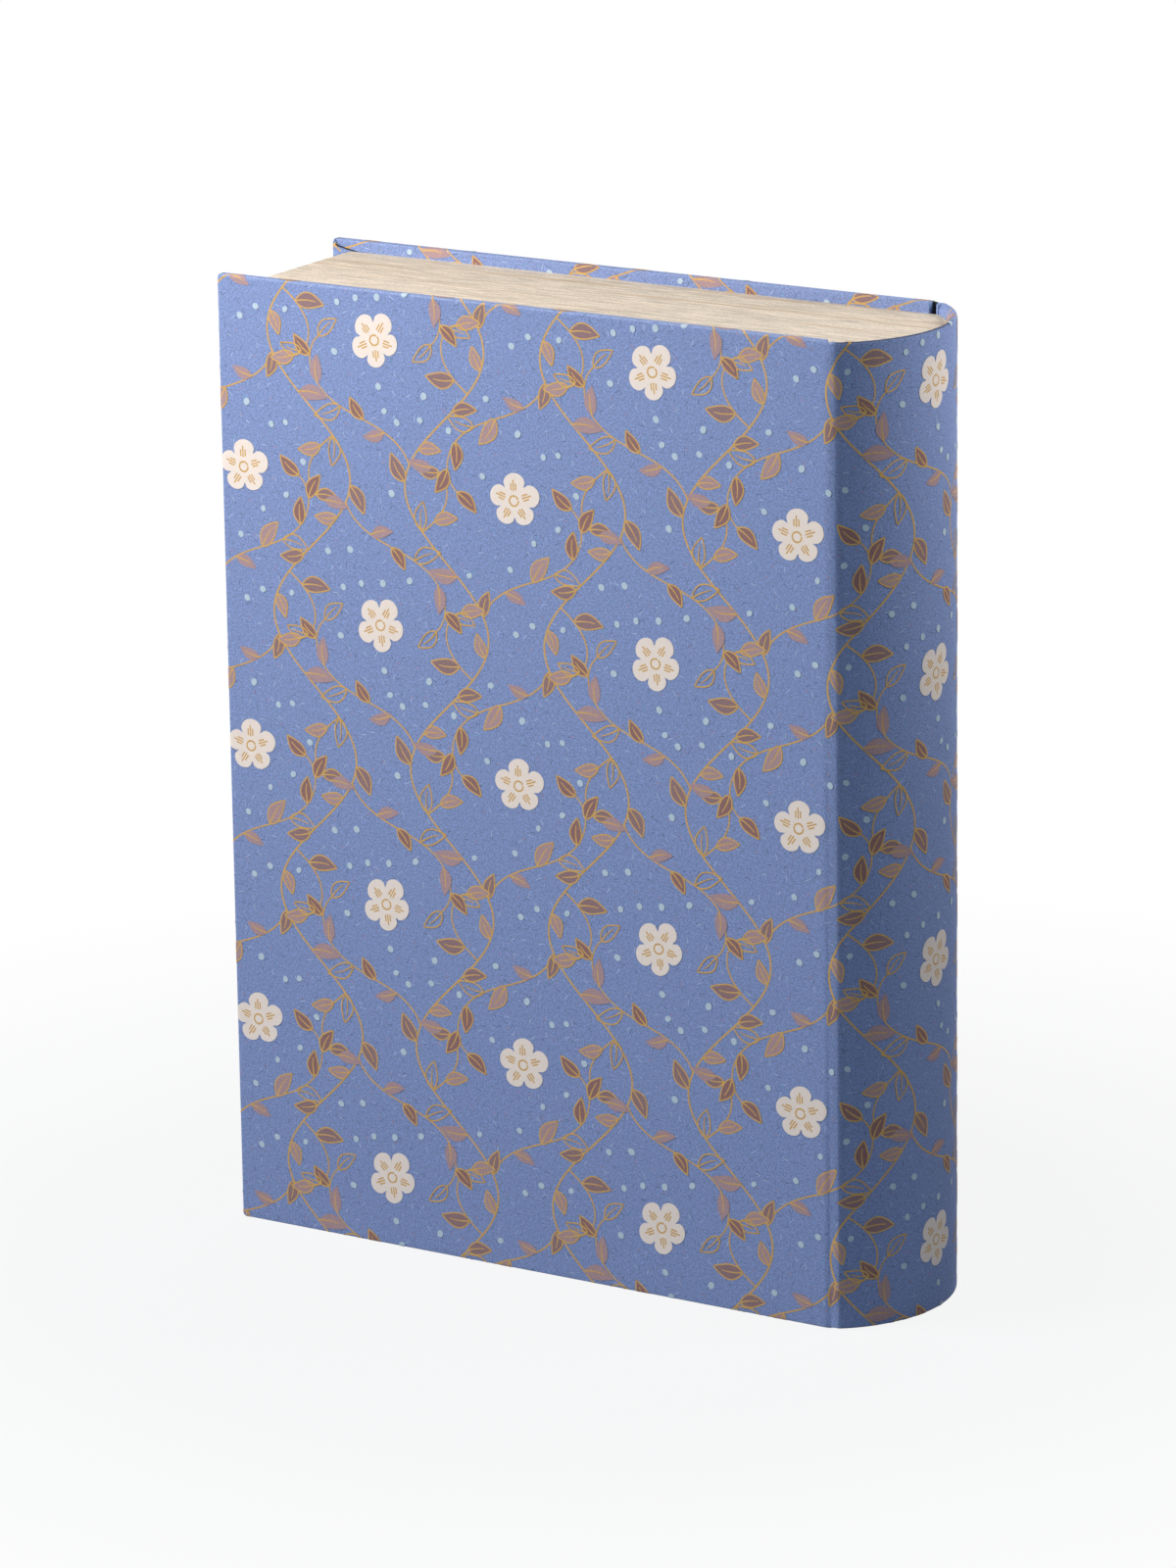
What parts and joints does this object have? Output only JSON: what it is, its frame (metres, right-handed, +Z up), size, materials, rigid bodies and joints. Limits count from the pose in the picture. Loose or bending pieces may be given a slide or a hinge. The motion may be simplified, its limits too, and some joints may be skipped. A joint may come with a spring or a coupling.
{
  "type": "book storage box",
  "caption": "Rigid card box shaped like a thick upright hardback book: a hinged cover lid on a lined tray with a rounded spine and page-edge sides.",
  "frame": {"origin": "centre of the overall box at the level of the surface that it stands on", "axes": "+Z up along the spine, +X from the fore-edge towards the spine, +Y from the lid cover towards the far cover"},
  "size_m": [0.2, 0.057, 0.26],
  "materials": {
    "printed_paper": "matte",
    "page_paper": "matte",
    "lining_paper": "matte",
    "greyboard": "matte",
    "nickel_plate": "polished",
    "steel": "satin"
  },
  "bodies": {
    "tray": {"back_board": "greyboard", "back_cover_paper": "printed_paper", "spine_card": "greyboard", "spine_cover_paper": "printed_paper", "head_wall": "greyboard", "tail_wall": "greyboard", "fore_edge_wall": "greyboard", "spine_wall": "greyboard", "tray_floor": "greyboard", "head_edge_paper": "page_paper", "tail_edge_paper": "page_paper", "fore_edge_paper": "page_paper", "spine_wall_paper": "page_paper", "wall_lining_paper": "lining_paper", "floor_lining_paper": "lining_paper", "upper_steel_disc": "steel", "lower_steel_disc": "steel"},
    "lid": {"lid_board": "greyboard", "lid_cover_paper": "printed_paper", "lid_lining_paper": "lining_paper", "upper_lid_magnet": "nickel_plate", "lower_lid_magnet": "nickel_plate"}
  },
  "joints": [
    {"name": "lid_hinge", "type": "hinge", "parent": "tray", "child": "lid", "pos_m": [0.0832, -0.02865, 0.13], "axis": [0, 0, 1], "range_deg": [0, 180]}
  ]
}
